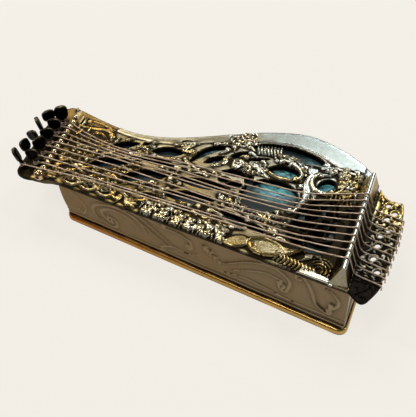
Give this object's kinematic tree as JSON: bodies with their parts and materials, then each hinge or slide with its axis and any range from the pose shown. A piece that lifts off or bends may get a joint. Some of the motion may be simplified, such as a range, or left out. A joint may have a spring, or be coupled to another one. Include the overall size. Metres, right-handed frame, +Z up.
{
  "type": "miniature zither",
  "caption": "Miniature ornamental zither: wing-shaped hollow metal box, pierced scrollwork top over shell, wire strings, bridge, beaded nut and turning pegs.",
  "frame": {"origin": "centre of the bounding box, on the surface the base stands on", "axes": "+X along the strings from the peg head towards the tail plate, +Y from the straight front edge to the curved back edge, +Z up"},
  "size_m": [0.1326, 0.0668, 0.0241],
  "materials": {
    "silver_gilt": "polished, worn",
    "aged_bronze": "satin, aged",
    "gilt_rim": "satin gilt",
    "dark_peg_metal": "dark, satin",
    "copper_wire": "drawn wire",
    "abalone_shell": "polished shell"
  },
  "bodies": {
    "box": {"body_shell": "aged_bronze", "base_plate": "aged_bronze", "base_rim": "gilt_rim", "top_plate": "silver_gilt", "shell_plaque": "abalone_shell", "head_block": "aged_bronze", "tail_plate": "silver_gilt", "bridge": "silver_gilt", "nut_rail": "silver_gilt", "string_01": "copper_wire", "string_02": "copper_wire", "string_03": "copper_wire", "string_04": "copper_wire", "string_05": "copper_wire", "string_06": "copper_wire", "string_07": "copper_wire", "string_08": "copper_wire", "string_09": "copper_wire", "string_10": "copper_wire"},
    "peg_01_body": {"peg_01": "dark_peg_metal", "string_coil_01": "copper_wire"},
    "peg_02_body": {"peg_02": "dark_peg_metal", "string_coil_02": "copper_wire"},
    "peg_03_body": {"peg_03": "dark_peg_metal", "string_coil_03": "copper_wire"},
    "peg_04_body": {"peg_04": "dark_peg_metal", "string_coil_04": "copper_wire"},
    "peg_05_body": {"peg_05": "dark_peg_metal", "string_coil_05": "copper_wire"},
    "peg_06_body": {"peg_06": "dark_peg_metal", "string_coil_06": "copper_wire"},
    "peg_07_body": {"peg_07": "dark_peg_metal", "string_coil_07": "copper_wire"},
    "peg_08_body": {"peg_08": "dark_peg_metal", "string_coil_08": "copper_wire"},
    "peg_09_body": {"peg_09": "dark_peg_metal", "string_coil_09": "copper_wire"},
    "peg_10_body": {"peg_10": "dark_peg_metal", "string_coil_10": "copper_wire"}
  },
  "joints": [
    {"name": "peg_01_turn", "type": "hinge", "parent": "box", "child": "peg_01_body", "pos_m": [-0.05677, -0.02879, 0.016], "axis": [-0.4695, 0, 0.8829], "range_deg": [-180, 180]},
    {"name": "peg_02_turn", "type": "hinge", "parent": "box", "child": "peg_02_body", "pos_m": [-0.05355, -0.0259, 0.016], "axis": [-0.3584, 0, 0.9336], "range_deg": [-180, 180]},
    {"name": "peg_03_turn", "type": "hinge", "parent": "box", "child": "peg_03_body", "pos_m": [-0.05833, -0.02301, 0.016], "axis": [-0.4384, 0, 0.8988], "range_deg": [-180, 180]},
    {"name": "peg_04_turn", "type": "hinge", "parent": "box", "child": "peg_04_body", "pos_m": [-0.05511, -0.02012, 0.016], "axis": [-0.2924, 0, 0.9563], "range_deg": [-180, 180]},
    {"name": "peg_05_turn", "type": "hinge", "parent": "box", "child": "peg_05_body", "pos_m": [-0.05989, -0.01723, 0.016], "axis": [-0.4384, 0, 0.8988], "range_deg": [-180, 180]},
    {"name": "peg_06_turn", "type": "hinge", "parent": "box", "child": "peg_06_body", "pos_m": [-0.05668, -0.01434, 0.016], "axis": [-0.2419, 0, 0.9703], "range_deg": [-180, 180]},
    {"name": "peg_07_turn", "type": "hinge", "parent": "box", "child": "peg_07_body", "pos_m": [-0.06146, -0.01144, 0.016], "axis": [-0.4067, 0, 0.9135], "range_deg": [-180, 180]},
    {"name": "peg_08_turn", "type": "hinge", "parent": "box", "child": "peg_08_body", "pos_m": [-0.05824, -0.00855, 0.016], "axis": [-0.1908, 0, 0.9816], "range_deg": [-180, 180]},
    {"name": "peg_09_turn", "type": "hinge", "parent": "box", "child": "peg_09_body", "pos_m": [-0.06302, -0.00566, 0.016], "axis": [-0.1736, 0, 0.9848], "range_deg": [-180, 180]},
    {"name": "peg_10_turn", "type": "hinge", "parent": "box", "child": "peg_10_body", "pos_m": [-0.0598, -0.00277, 0.016], "axis": [-0.0872, 0, 0.9962], "range_deg": [-180, 180]}
  ]
}
